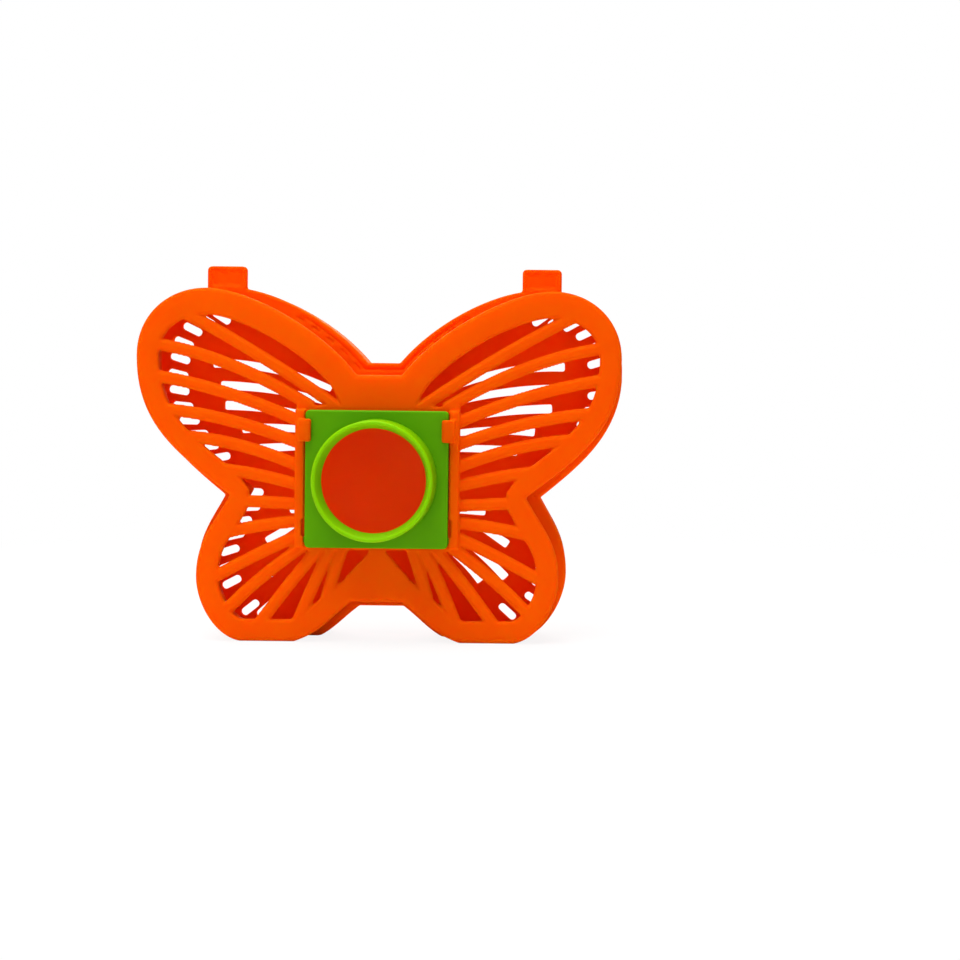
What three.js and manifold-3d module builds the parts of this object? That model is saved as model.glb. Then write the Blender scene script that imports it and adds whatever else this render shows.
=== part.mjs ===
// Butterfly bug box: a moulded case in two telescoping halves, with a sliding door that carries a lens.
// Millimetres, +X to the viewer's right, the front faces -Y, +Z is up, the feet stand on Z = 0.
import * as THREE from 'three';
import { mergeVertices } from 'three/addons/utils/BufferGeometryUtils.js';
import Module from 'manifold-3d';

const wasm = await Module();
wasm.setup();

// Butterfly outline of the front plate
const wingSpan = 149.8;
const wingTipHeight = 88;
const wingTopOffset = 53.5;
const wingTopHeight = 109;
const topNotchWidth = 14;
const topNotchHeight = 82.6;
const waistWidth = 91.4;
const waistHeight = 45.2;
const lowerSpan = 112;
const lowerTipHeight = 20;
const footOuterOffset = 42.5;
const footInnerOffset = 25.5;
const bottomNotchWidth = 15.8;
const bottomNotchHeight = 12.5;

// Depths and walls of the two halves
const caseDepth = 24;
const plateThickness = 2.2;
const plateLip = 2.6;
const plateEdge = 0.6;
const skirtInset = 1.9;
const skirtWall = 1.4;
const skirtDepth = 16;
const skirtClearance = 0.3;
const shellRimDepth = 11;
const backThickness = 2;
const rimFlange = 2.4;
const shellWall = 1.4;
const skirtBeadInset = 0.6;
const skirtBeadDepth = 6;
const skirtBeadWidth = 1.8;

// How far the flange of the back shell stands out past the front plate, corner by corner.
// The leans say how late it changes along the upper edge and down the side of the wing.
const proudTopNotch = 3.9;
const proudWingTop = 0.2;
const proudWingTip = 0.2;
const proudWaist = 3.2;
const proudLowerTip = 2.2;
const proudFootOuter = 0.8;
const proudFootInner = 2.4;
const proudBottomNotch = 2.8;
const proudTopLean = 3;
const proudSideLean = 0.7;
const tubSetback = 0.3;

// Finger tabs on the rim flange of the back shell
const tabOffset = 49.7;
const tabWidth = 12.4;
const tabRise = 7.5;
const tabThickness = 2.2;
const tabCorner = 1.3;
const tabRecess = 0.5;
const tabRim = 1.4;

// Wing grille of the front plate: a rim, a door frame and the vein ribs between them
const rimWidth = 6.1;
const rimTopExtra = 1.9;
const frameWidth = 50.4;
const frameTop = 73;
const frameBottom = 28.6;
const frameTopRun = 14.2;
const frameBottomRun = 15.5;
const ribWidth = 3.8;
const ribEdge = 0.6;
const bellyTipWidth = 4;
const bellyFootWidth = 19.6;
const bellyFootHeight = 20;
const chestFlare = 6;

// Back panel: rows of short slots along the outline, pointing at hubs behind the door, and long slots inside
const upperHub = 66;
const lowerHub = 42;
const slotPitch = 5.2;
const slotWidth = 2.5;
const slotLength = 6.8;
const slotMargin = 2.5;
const upperRowFirst = 0.241;
const upperRowCount = 12;
const waistSlotPlace = 0.572;
const lowerRowFirst = 0.636;
const lowerRowCount = 10;
const longSlotWidth = 3.1;
const longSlotTaper = 2;
const longSlotSteps = 5;

// Sliding door with its lens ring
const doorWidth = 43.9;
const doorHeight = 42.3;
const doorBottom = 29.4;
const doorThickness = 2.2;
const doorCorner = 1.4;
const doorEdge = 0.4;
const doorGap = 0.3;
const ringRadius = 18.3;
const ringDraft = 0.3;
const ringWall = 1.4;
const ringHeight = 10;
const lipDepth = 3.6;
const lipThickness = 1;
const lipRadius = 15.9;
const beadHeight = 0.5;
const beadWidth = 0.8;
const lensClearance = 0.3;
const lensEdge = 1.6;
const lensCrown = 1.5;

// Rails, hooks and ears that guide the door
const railWidth = 3;
const railHeight = 2.2;
const railGap = 0.25;
const grooveHeight = 1.5;
const earReach = 0.8;
const earHeight = 1.6;
const earThickness = 0.9;
const earRise = 1.6;
const earClearance = 0.3;
const windowHeight = 5.6;
const hookBottom = 62;
const hookHeight = 7;
const hookOverlap = 2;
const hookPost = 1.8;
const hookThickness = 1.3;
const hookGap = 0.3;
const apertureMargin = 2.6;

// Facets
const curveSteps = 9;
const ribSteps = 8;
const roundSteps = 48;
const cornerSteps = 3;
const lensSteps = 6;

// Places worked out from the sizes above
const doorStack = doorGap + doorThickness + ringHeight;
const frontY = -(caseDepth - doorStack) / 2;
const backY = frontY + caseDepth;
const rimY = frontY + shellRimDepth;
const panelY = backY - backThickness;
const doorBackY = frontY - doorGap;
const doorFrontY = doorBackY - doorThickness;
const ringFrontY = doorFrontY - ringHeight;
const doorCentre = doorBottom + doorHeight / 2;
const railInner = doorWidth / 2 + railGap;
const railFrontY = frontY - railHeight;
const apertureHalf = doorWidth / 2 - apertureMargin;
const tabTop = wingTopHeight + tabRise;
const cutBeyond = 1;

const orange = new THREE.MeshStandardMaterial({ color: 0xfa5c00, roughness: 0.42, metalness: 0 });
const green = new THREE.MeshStandardMaterial({ color: 0x63b400, roughness: 0.4, metalness: 0 });
const clear = new THREE.MeshStandardMaterial({ color: 0xf2f5f5, roughness: 0.05, metalness: 0 });

const at = (x, z) => new THREE.Vector2(x, z);

// One stretch of outline: the pulls set its end handles as shares of the run and the rise
function stretch(from, to, startPull, endPull) {
  const run = to.clone().sub(from);
  const startHandle = from.clone().add(run.clone().multiply(startPull));
  const endHandle = to.clone().sub(run.clone().multiply(endPull));
  return new THREE.CubicBezierCurve(from, startHandle, endHandle, to).getPoints(curveSteps);
}

// Right half of the butterfly, from the top notch to the bottom notch.
// Each place also says how far the flange stands out there.
function halfButterfly() {
  const topNotch = [at(topNotchWidth / 2, topNotchHeight), proudTopNotch];
  const wingTop = [at(wingTopOffset, wingTopHeight), proudWingTop];
  const wingTip = [at(wingSpan / 2, wingTipHeight), proudWingTip];
  const waist = [at(waistWidth / 2, waistHeight), proudWaist];
  const lowerTip = [at(lowerSpan / 2, lowerTipHeight), proudLowerTip];
  const footOuter = [at(footOuterOffset, 0), proudFootOuter];
  const footInner = [at(footInnerOffset, 0), proudFootInner];
  const bottomNotch = [at(bottomNotchWidth / 2, bottomNotchHeight), proudBottomNotch];
  const run = ([from, fromProud], [to, toProud], startPull, endPull, lean = 1) => {
    const proudAt = (index) => THREE.MathUtils.lerp(fromProud, toProud, (index / curveSteps) ** lean);
    const points = stretch(from, to, startPull, endPull);
    return points.map((point, index) => ({ point, proud: proudAt(index) }));
  };
  const places = [
    { point: at(0, topNotchHeight), proud: proudTopNotch },
    ...run(topNotch, wingTop, at(0.22, 0.52), at(0.28, 0), proudTopLean),
    ...run(wingTop, wingTip, at(0.54, 0), at(0, 0.61)),
    ...run(wingTip, waist, at(0, 0.51), at(0.54, 0.28), proudSideLean),
    ...run(waist, lowerTip, at(0.45, 0.36), at(0, 0.46)),
    ...run(lowerTip, footOuter, at(0, 0.4), at(0.59, 0.08)),
    ...run(footInner, bottomNotch, at(0.5, 0.25), at(0.47, 0.51)),
    { point: at(0, bottomNotchHeight), proud: proudBottomNotch },
  ];
  const apart = ({ point }, index) => index === 0 || point.distanceTo(places[index - 1].point) > 0.01;
  return places.filter(apart);
}

const mirrored = (points) => points.map((point) => at(-point.x, point.y));

// Moves every side of an outline outwards with mitred corners, by one distance or by one for each point
function offset(outline, distance) {
  return outline.map((point, index) => {
    const reach = Array.isArray(distance) ? distance[index] : distance;
    const before = outline.at(index - 1);
    const after = outline[(index + 1) % outline.length];
    const inDirection = point.clone().sub(before).normalize();
    const outDirection = after.clone().sub(point).normalize();
    const inNormal = at(inDirection.y, -inDirection.x);
    const outNormal = at(outDirection.y, -outDirection.x);
    const mitre = inNormal.clone().add(outNormal).normalize();
    return point.clone().addScaledVector(mitre, reach / Math.max(mitre.dot(inNormal), 0.5));
  });
}

// Outline cut off at the surface that the feet stand on
const standing = (outline) => outline.map((point) => at(point.x, Math.max(point.y, 0)));

function rectangle(left, right, low, high) {
  return [at(left, low), at(right, low), at(right, high), at(left, high)];
}

// Rectangle with round corners, anticlockwise from the front
function roundedRectangle(left, right, low, high, radius) {
  const corners = [
    [right - radius, low + radius, -90],
    [right - radius, high - radius, 0],
    [left + radius, high - radius, 90],
    [left + radius, low + radius, 180],
  ];
  return corners.flatMap(([x, z, start]) => {
    const steps = Array.from({ length: cornerSteps + 1 }, (_, step) => start + (90 * step) / cornerSteps);
    const turns = steps.map((degrees) => THREE.MathUtils.degToRad(degrees));
    return turns.map((turn) => at(x + radius * Math.cos(turn), z + radius * Math.sin(turn)));
  });
}

// Closed skin over rings that have the same number of points; both end rings are capped
function skin(rings, capShape) {
  const count = rings[0].length;
  const positions = rings.flat().flatMap((point) => [point.x, point.y, point.z]);
  const caps = THREE.ShapeUtils.triangulateShape(capShape, []);
  const last = (rings.length - 1) * count;
  const indices = [];
  caps.forEach(([a, b, c]) => {
    indices.push(a, b, c, last + a, last + c, last + b);
  });
  for (let ring = 0; ring < rings.length - 1; ring += 1) {
    for (let side = 0; side < count; side += 1) {
      const a = ring * count + side;
      const b = ring * count + ((side + 1) % count);
      indices.push(a, a + count, b + count, a, b + count, b);
    }
  }
  const geometry = new THREE.BufferGeometry();
  geometry.setAttribute('position', new THREE.Float32BufferAttribute(positions, 3));
  geometry.setIndex(indices);
  return geometry;
}

function solid(geometry) {
  const bare = geometry.clone();
  bare.deleteAttribute('normal');
  bare.deleteAttribute('uv');
  const merged = mergeVertices(bare, 1e-4);
  return new wasm.Manifold(new wasm.Mesh({
    numProp: 3,
    vertProperties: new Float32Array(merged.attributes.position.array),
    triVerts: new Uint32Array(merged.index.array),
  }));
}

// Solid through a list of levels, each an outline at its own depth
function levels(list) {
  const rings = list.map(([outline, y]) => outline.map((point) => new THREE.Vector3(point.x, y, point.y)));
  return solid(skin(rings, list[0][0]));
}

const prism = (outline, fromY, toY) => levels([[outline, fromY], [outline, toY]]);

// Prism whose front edge is chamfered
function easedPrism(outline, fromY, toY, edge) {
  return levels([[offset(outline, -edge), fromY], [outline, fromY + edge], [outline, toY]]);
}

const joined = (solids) => solids.reduce((whole, part) => whole.add(part));

// Solid turned about the lens axis; the profile gives radius and depth
function lathe(profile) {
  const geometry = new THREE.LatheGeometry(profile.map(([radius, y]) => at(radius, y)), roundSteps);
  geometry.translate(0, 0, doorCentre);
  return solid(geometry);
}

function mesh(name, shape, material) {
  const { vertProperties, triVerts } = shape.getMesh();
  const geometry = new THREE.BufferGeometry();
  geometry.setAttribute('position', new THREE.Float32BufferAttribute(vertProperties, 3));
  geometry.setIndex(Array.from(triVerts));
  geometry.computeVertexNormals();
  const piece = new THREE.Mesh(geometry, material);
  piece.name = name;
  return piece;
}

// Point at a share of the length of an open line
function along(line, share) {
  const lengths = line.slice(1).map((point, index) => point.distanceTo(line[index]));
  let left = share * lengths.reduce((sum, length) => sum + length, 0);
  let index = 0;
  while (index < lengths.length - 1 && left > lengths[index]) {
    left -= lengths[index];
    index += 1;
  }
  return line[index].clone().lerp(line[index + 1], left / lengths[index]);
}

// Full outlines run anticlockwise as seen from the front
const half = halfButterfly();
const rimLine = half.map(({ point }) => point);
const frontOutline = [...mirrored(rimLine), ...rimLine.slice(1, -1).reverse()];
const halfProud = half.map(({ proud }) => proud);
const proud = [...halfProud, ...halfProud.slice(1, -1).reverse()];
const rimOutline = standing(offset(frontOutline, proud));
const tubOutline = standing(offset(frontOutline, proud.map((reach) => reach - tubSetback)));
const skirtOutline = offset(frontOutline, -skirtInset);
const slotLine = mirrored(offset(tubOutline, -slotMargin - slotLength / 2).slice(0, half.length));
const frameHalf = frameWidth / 2;
const frameLine = [
  at(frameHalf - frameTopRun, frameTop),
  at(frameHalf, frameTop),
  at(frameHalf, frameBottom),
  at(frameHalf - frameBottomRun, frameBottom),
];

// Vein ribs: place on the outline, place on the door frame (shares of each line) and upward bow
const veins = [
  { rim: 0.304, frame: 0.034, bow: 1.1 },
  { rim: 0.361, frame: 0.147, bow: 2.9 },
  { rim: 0.402, frame: 0.255, bow: 1.8 },
  { rim: 0.446, frame: 0.348, bow: 1.8 },
  { rim: 0.485, frame: 0.443, bow: 2 },
  { rim: 0.542, frame: 0.522, bow: 0.9 },
  { rim: 0.607, frame: 0.603, bow: 0.1 },
  { rim: 0.66, frame: 0.676, bow: 0.6 },
  { rim: 0.723, frame: 0.739, bow: 0.4 },
  { rim: 0.773, frame: 0.806, bow: 0.9 },
  { rim: 0.822, frame: 0.879, bow: 0.3 },
  { rim: 0.876, frame: 0.93, bow: 0.3 },
  { rim: 0.906, frame: 0.977, bow: 0.3 },
];

// One rib: a flat-backed section with eased front edges, swept from the rim to the frame
function rib({ rim, frame, bow }, side) {
  const mirror = at(side, 1);
  const outer = along(rimLine, rim).multiply(mirror);
  const inner = along(frameLine, frame).multiply(mirror);
  const chord = inner.clone().sub(outer).normalize();
  const lift = at(-chord.y, chord.x).multiplyScalar(-2 * bow * side);
  const middle = outer.clone().lerp(inner, 0.5).add(lift);
  const path = new THREE.QuadraticBezierCurve(outer, middle, inner.addScaledVector(chord, railWidth / 2));
  const half = ribWidth / 2;
  const section = [
    at(-half, -plateThickness),
    at(half, -plateThickness),
    at(half, -ribEdge),
    at(half - ribEdge, 0),
    at(ribEdge - half, 0),
    at(-half, -ribEdge),
  ];
  const rings = Array.from({ length: ribSteps + 1 }, (_, step) => {
    const point = path.getPoint(step / ribSteps);
    const direction = path.getTangent(step / ribSteps);
    const place = ({ x, y }) => [point.x + direction.y * x, frontY - y, point.y - direction.x * x];
    return section.map((corner) => new THREE.Vector3(...place(corner)));
  });
  return solid(skin(rings, section));
}

// Solid middle of the front plate: chest panel, door frame and belly panel
function bodyPanel() {
  const chest = frameHalf - frameTopRun;
  const half = [
    at(chest + chestFlare, topNotchHeight),
    at(chest, frameTop),
    at(frameHalf, frameTop),
    at(frameHalf, frameBottom),
    at(bellyTipWidth / 2, frameBottom),
    at(bellyFootWidth / 2, bellyFootHeight),
    at(bellyFootWidth / 2, bottomNotchHeight),
  ];
  return [...mirrored(half), ...half.reverse()];
}

// Rail beside the door: undercut for the ear, open at the front where the ear goes in
function rail(side) {
  const span = (inner, outer, low, high) => {
    const edges = [side * inner, side * outer].sort((a, b) => a - b);
    return rectangle(...edges, low, high);
  };
  const outer = railInner + railWidth;
  const grooveOuter = railInner + earReach + earClearance - railGap;
  const earLow = doorBottom + earRise;
  const barOutline = span(railInner, outer, doorBottom, doorBottom + doorHeight);
  const bar = easedPrism(barOutline, railFrontY, frontY + plateEdge, doorEdge);
  const grooveOutline = span(railInner - cutBeyond, grooveOuter, earLow - earClearance, hookBottom);
  const groove = prism(grooveOutline, frontY - grooveHeight, frontY);
  const earTop = earLow + earHeight;
  const windowLow = earTop + earClearance;
  const windowOutline = span(railInner - cutBeyond, grooveOuter, windowLow, earTop + windowHeight);
  const window = prism(windowOutline, railFrontY - cutBeyond, frontY);
  const hookBackY = doorFrontY - hookGap;
  const hookFrontY = hookBackY - hookThickness;
  const hookTop = hookBottom + hookHeight;
  const post = prism(span(railInner, railInner + hookPost, hookBottom, hookTop), hookBackY, frontY);
  const clawOutline = span(doorWidth / 2 - hookOverlap, railInner + hookPost, hookBottom, hookTop);
  const claw = easedPrism(clawOutline, hookFrontY, hookBackY, doorEdge);
  return bar.subtract(groove).subtract(window).add(post).add(claw);
}

// Front half: eased plate with a beaded skirt, wing windows crossed by the veins, and the door's rails
function frontCover() {
  const lipY = frontY + plateLip;
  const beadY = frontY + skirtBeadDepth;
  const beadEndY = beadY + skirtBeadWidth;
  const skirtEndY = frontY + skirtDepth;
  const beadOutline = offset(frontOutline, -skirtBeadInset);
  const block = levels([
    [offset(frontOutline, -plateEdge), frontY],
    [frontOutline, frontY + plateEdge],
    [frontOutline, lipY],
    [skirtOutline, lipY + plateEdge],
    [skirtOutline, beadY],
    [beadOutline, beadY + plateEdge],
    [beadOutline, beadEndY - plateEdge],
    [skirtOutline, beadEndY],
    [skirtOutline, skirtEndY],
  ]);
  const hollow = prism(offset(skirtOutline, -skirtWall), frontY + plateThickness, skirtEndY + cutBeyond);
  const lean = (x, z) => z - Math.abs(x) / 2;
  const tipLean = lean(wingSpan / 2, wingTipHeight);
  const topLean = lean(wingTopOffset, wingTopHeight);
  const topShare = ({ x, y }) => THREE.MathUtils.smoothstep(lean(x, y), tipLean, topLean);
  const rimWidths = frontOutline.map((point) => rimWidth + rimTopExtra * topShare(point));
  const windowOutline = offset(frontOutline, rimWidths.map((width) => -width));
  const open = levels([
    [offset(windowOutline, cutBeyond + ribEdge), frontY - cutBeyond],
    [windowOutline, frontY + ribEdge],
    [windowOutline, frontY + plateThickness + cutBeyond],
  ]);
  const body = prism(bodyPanel(), frontY - cutBeyond, frontY + plateThickness + cutBeyond);
  const veinRibs = [-1, 1].flatMap((side) => veins.map((vein) => rib(vein, side)));
  const insideLip = prism(offset(frontOutline, -plateEdge), frontY, frontY + plateThickness);
  const apertureLow = doorBottom + apertureMargin;
  const apertureHigh = doorBottom + doorHeight - apertureMargin;
  const apertureOutline = rectangle(-apertureHalf, apertureHalf, apertureLow, apertureHigh);
  const aperture = prism(apertureOutline, frontY - cutBeyond, frontY + plateThickness + cutBeyond);
  const ribs = joined(veinRibs).intersect(insideLip);
  const grille = block.subtract(hollow).subtract(open.subtract(body)).add(ribs);
  return grille.subtract(aperture).add(rail(-1)).add(rail(1));
}

// Slot with round ends, from a start to an end along a direction
function slot(from, direction, start, end, startWidth, endWidth, side) {
  const normal = at(-direction.y, direction.x);
  const cap = (distance, radius, first) => Array.from({ length: cornerSteps + 1 }, (_, step) => {
    const turn = first + (Math.PI * step) / cornerSteps;
    return from.clone()
      .addScaledVector(direction, distance + radius * Math.cos(turn))
      .addScaledVector(normal, radius * Math.sin(turn));
  });
  const outline = [
    ...cap(end - endWidth / 2, endWidth / 2, -Math.PI / 2),
    ...cap(start + startWidth / 2, startWidth / 2, Math.PI / 2),
  ];
  return prism(side > 0 ? outline : mirrored(outline).reverse(), panelY - cutBeyond, backY + cutBeyond);
}

// Row of short slots along the slot line, all pointing at one hub
function slotRow(first, count, hubHeight, side) {
  const steps = slotLine.slice(1).map((point, index) => point.distanceTo(slotLine[index]));
  const length = steps.reduce((sum, step) => sum + step, 0);
  const reach = slotLength / 2;
  return Array.from({ length: count }, (_, step) => {
    const middle = along(slotLine, first + (step * slotPitch) / length);
    const direction = middle.clone().sub(at(0, hubHeight)).normalize();
    return slot(middle, direction, -reach, reach, slotWidth, slotWidth, side);
  });
}

// Long slots: inner end, outer end and upward bow
const longSlots = [
  { inner: at(21, 78.8), outer: at(56, 86), bow: 1.8 },
  { inner: at(21, 73.2), outer: at(57, 79.8), bow: 1.2 },
  { inner: at(21, 69.4), outer: at(54.5, 72.6), bow: 0.8 },
  { inner: at(21, 63.6), outer: at(50.5, 64.8), bow: 0.8 },
  { inner: at(21, 58.8), outer: at(42, 58), bow: 0.4 },
  { inner: at(21, 38.8), outer: at(33.5, 38.3), bow: 0 },
  { inner: at(27, 36.8), outer: at(39.5, 29.2), bow: 0 },
  { inner: at(25, 30), outer: at(39, 17.6), bow: 0.4 },
  { inner: at(19, 26), outer: at(29.8, 15.2), bow: 0.4 },
];

// One long slot, which tapers towards its inner end
function longSlot({ inner, outer, bow }, side) {
  const chord = outer.clone().sub(inner).normalize();
  const middle = inner.clone().lerp(outer, 0.5).addScaledVector(at(-chord.y, chord.x), 2 * bow);
  const path = new THREE.QuadraticBezierCurve(inner, middle, outer);
  const edge = (hand) => Array.from({ length: longSlotSteps + 1 }, (_, step) => {
    const share = step / longSlotSteps;
    const width = THREE.MathUtils.lerp(longSlotTaper, longSlotWidth, share);
    const tangent = path.getTangent(share);
    return path.getPoint(share).addScaledVector(at(tangent.y, -tangent.x), (hand * width) / 2);
  });
  const outline = [...edge(1), ...edge(-1).reverse()];
  return prism(side > 0 ? outline : mirrored(outline).reverse(), panelY - cutBeyond, backY + cutBeyond);
}

const backSlots = (side) => [
  ...slotRow(upperRowFirst, upperRowCount, upperHub, side),
  ...slotRow(waistSlotPlace, 1, lowerHub, side),
  ...slotRow(lowerRowFirst, lowerRowCount, lowerHub, side),
  ...longSlots.map((long) => longSlot(long, side)),
];

// Back half: a thin tub with a slotted back, a flange that sleeves the skirt, and two finger tabs
function backShell() {
  const flangeBackY = rimY + rimFlange;
  const tub = levels([
    [tubOutline, rimY + plateEdge],
    [tubOutline, backY - plateEdge],
    [offset(tubOutline, -plateEdge), backY],
  ]);
  const flange = easedPrism(rimOutline, rimY, flangeBackY, plateEdge);
  const inside = prism(offset(tubOutline, -shellWall), flangeBackY, panelY);
  const mouth = prism(offset(skirtOutline, skirtClearance), rimY - cutBeyond, flangeBackY + cutBeyond);
  const slots = [-1, 1].flatMap((side) => backSlots(side));
  const tabs = [-1, 1].map((side) => {
    const centre = side * tabOffset;
    const [left, right] = [centre - tabWidth / 2, centre + tabWidth / 2];
    const plate = roundedRectangle(left, right, wingTopHeight - shellWall, tabTop, tabCorner);
    const dish = rectangle(left + tabRim, right - tabRim, wingTopHeight + tabRim, tabTop - tabRim);
    const dished = prism(dish, rimY - cutBeyond, rimY + tabRecess);
    return prism(plate, rimY, rimY + tabThickness).subtract(dished);
  });
  const body = tub.add(flange).add(joined(tabs));
  return body.subtract(inside).subtract(mouth).subtract(joined(slots));
}

const boreRadius = ringRadius - ringWall;
const lensRadius = boreRadius - lensClearance;
const lensFrontY = ringFrontY + lipDepth + lipThickness + lensClearance;
const lensBackY = lensFrontY + lensEdge;

// Door plate with the lens ring: a lip in front of the lens and a snap bead behind it
function lensDoor() {
  const halfWidth = doorWidth / 2;
  const doorTop = doorBottom + doorHeight;
  const plateOutline = roundedRectangle(-halfWidth, halfWidth, doorBottom, doorTop, doorCorner);
  const plate = easedPrism(plateOutline, doorFrontY, doorBackY, doorEdge);
  const earLow = doorBottom + earRise;
  const earOutline = rectangle(-halfWidth - earReach, halfWidth + earReach, earLow, earLow + earHeight);
  const ears = prism(earOutline, doorBackY - earThickness, doorBackY);
  const beadY = lensBackY + lensClearance;
  const ring = lathe([
    [ringRadius, ringFrontY + doorEdge],
    [ringRadius + ringDraft, doorBackY],
    [boreRadius, doorBackY],
    [boreRadius, beadY + beadWidth],
    [boreRadius - beadHeight, beadY + beadWidth / 2],
    [boreRadius, beadY],
    [boreRadius, lensFrontY - lensClearance],
    [lipRadius, lensFrontY - lensClearance],
    [lipRadius, ringFrontY + lipDepth],
    [boreRadius, ringFrontY + doorEdge],
    [ringRadius - ringWall / 2, ringFrontY],
    [ringRadius, ringFrontY + doorEdge],
  ]);
  const bore = lathe([
    [0, doorFrontY - cutBeyond],
    [boreRadius + ringWall / 2, doorFrontY - cutBeyond],
    [boreRadius + ringWall / 2, doorBackY + cutBeyond],
    [0, doorBackY + cutBeyond],
  ]);
  return plate.add(ears).subtract(bore).add(ring);
}

// Biconvex lens with a flat edge
function lens() {
  const crown = (step) => [
    lensRadius * Math.sin((Math.PI / 2) * (step / lensSteps)),
    lensCrown * Math.cos((Math.PI / 2) * (step / lensSteps)) ** 2,
  ];
  const steps = Array.from({ length: lensSteps + 1 }, (_, step) => crown(step));
  const front = steps.map(([radius, rise]) => [radius, lensFrontY - rise]);
  const back = steps.map(([radius, rise]) => [radius, lensBackY + rise]).reverse();
  return lathe([...front, ...back]);
}

const bugBox = new THREE.Group();
bugBox.add(
  mesh('front_cover', frontCover(), orange),
  mesh('back_shell', backShell(), orange),
  mesh('lens_door', lensDoor(), green),
  mesh('lens', lens(), clear),
);

export default bugBox;
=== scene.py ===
import math

import bmesh
import bpy
import numpy as np
from mathutils import Matrix, Vector


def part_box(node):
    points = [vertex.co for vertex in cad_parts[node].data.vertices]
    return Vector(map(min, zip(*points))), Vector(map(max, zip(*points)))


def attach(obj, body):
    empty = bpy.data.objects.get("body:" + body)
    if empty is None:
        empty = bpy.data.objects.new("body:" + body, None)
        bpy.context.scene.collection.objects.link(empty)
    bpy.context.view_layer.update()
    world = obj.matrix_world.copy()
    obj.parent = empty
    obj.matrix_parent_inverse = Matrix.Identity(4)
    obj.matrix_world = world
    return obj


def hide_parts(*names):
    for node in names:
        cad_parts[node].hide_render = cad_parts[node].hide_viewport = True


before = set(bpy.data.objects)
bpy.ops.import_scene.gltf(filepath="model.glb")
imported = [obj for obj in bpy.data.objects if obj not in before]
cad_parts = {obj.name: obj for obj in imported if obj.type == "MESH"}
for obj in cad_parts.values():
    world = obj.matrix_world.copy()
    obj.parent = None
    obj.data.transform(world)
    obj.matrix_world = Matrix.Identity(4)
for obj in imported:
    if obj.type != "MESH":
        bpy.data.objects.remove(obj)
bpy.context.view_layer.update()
scene = bpy.context.scene
print("frame loaded:", sorted(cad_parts))

mm = 0.001  # every size below is in millimetres, meshes are in metres
beyond = 1.0  # how far a cutter or a joined shell reaches past the face that it meets
samePoint = 0.01  # points closer than this are one point
sharpestMitre = 0.5  # keeps the mitre of a sharp corner short

# depths shared by the two halves and the door, front to back along +Y
stack = {
    "front": -5.75,
    "rim": 5.25,
    "panel": 16.25,
    "back": 18.25,
    "doorBack": -6.05,
    "doorFront": -8.25,
    "ringFront": -18.25,
}

# each corner of the outline: across, up, and how far the flange of the back shell stands out there
butterfly = {
    "topNotch": (7.0, 82.6, 3.9),
    "wingTop": (53.5, 109.0, 0.2),
    "wingTip": (74.9, 88.0, 0.2),
    "waist": (45.7, 45.2, 3.2),
    "lowerTip": (56.0, 20.0, 2.2),
    "footOuter": (42.5, 0.0, 0.8),
    "footInner": (25.5, 0.0, 2.4),
    "bottomNotch": (7.9, 12.5, 2.8),
}

# each curve of the outline: its two corners, the pull at both, and how late the flange width changes
outlineCurves = [
    ("topNotch", "wingTop", (0.22, 0.52), (0.28, 0), 3.0),
    ("wingTop", "wingTip", (0.54, 0), (0, 0.61), 1.0),
    ("wingTip", "waist", (0, 0.51), (0.54, 0.28), 0.7),
    ("waist", "lowerTip", (0.45, 0.36), (0, 0.46), 1.0),
    ("lowerTip", "footOuter", (0, 0.4), (0.59, 0.08), 1.0),
    ("footInner", "bottomNotch", (0.5, 0.25), (0.47, 0.51), 1.0),
]
curveSteps = 20


def stretch(start, end, startPull, endPull, lean):
    t = np.linspace(0, 1, curveSteps + 1)[:, None]
    p, q = np.array(start[:2]), np.array(end[:2])
    a, b = p + (q - p) * startPull, q - (q - p) * endPull
    curve = (1 - t) ** 3 * p + 3 * t * (1 - t) ** 2 * a + 3 * t ** 2 * (1 - t) * b + t ** 3 * q
    return np.hstack([curve, start[2] + (end[2] - start[2]) * t ** lean])


def halfPlaces():  # across, up and flange width along the right half, top notch to bottom notch
    first, last = (np.array([(0, *butterfly[name][1:])]) for name in ("topNotch", "bottomNotch"))
    curves = [stretch(butterfly[start], butterfly[end], *rest) for start, end, *rest in outlineCurves]
    places = np.concatenate([first, *curves, last])
    keep = np.r_[True, np.linalg.norm(np.diff(places[:, :2], axis=0), axis=1) > samePoint]
    return places[keep]


def halfOutline():
    return halfPlaces()[:, :2]


def fullOutline():
    half = halfOutline()
    return np.concatenate([half * (-1, 1), half[1:-1][::-1]])


def grown(outline, distance):  # mitred offset, outwards where positive
    before, after = np.roll(outline, 1, axis=0), np.roll(outline, -1, axis=0)
    into, out = outline - before, after - outline
    into /= np.linalg.norm(into, axis=1)[:, None]
    out /= np.linalg.norm(out, axis=1)[:, None]
    normalIn = np.stack([into[:, 1], -into[:, 0]], 1)
    normalOut = np.stack([out[:, 1], -out[:, 0]], 1)
    mitre = normalIn + normalOut
    mitre /= np.linalg.norm(mitre, axis=1)[:, None]
    share = np.maximum((mitre * normalIn).sum(1), sharpestMitre)
    return outline + mitre * (distance / share)[:, None]


def shellOutline(setback):  # outline of the back shell, flush with the feet
    widths = halfPlaces()[:, 2]
    outline = grown(fullOutline(), np.concatenate([widths, widths[1:-1][::-1]]) - setback)
    outline[:, 1] = np.maximum(outline[:, 1], 0)
    return outline


def box2d(left, right, low, high):
    left, right = min(left, right), max(left, right)
    return np.array([(left, low), (right, low), (right, high), (left, high)], float)


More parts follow.
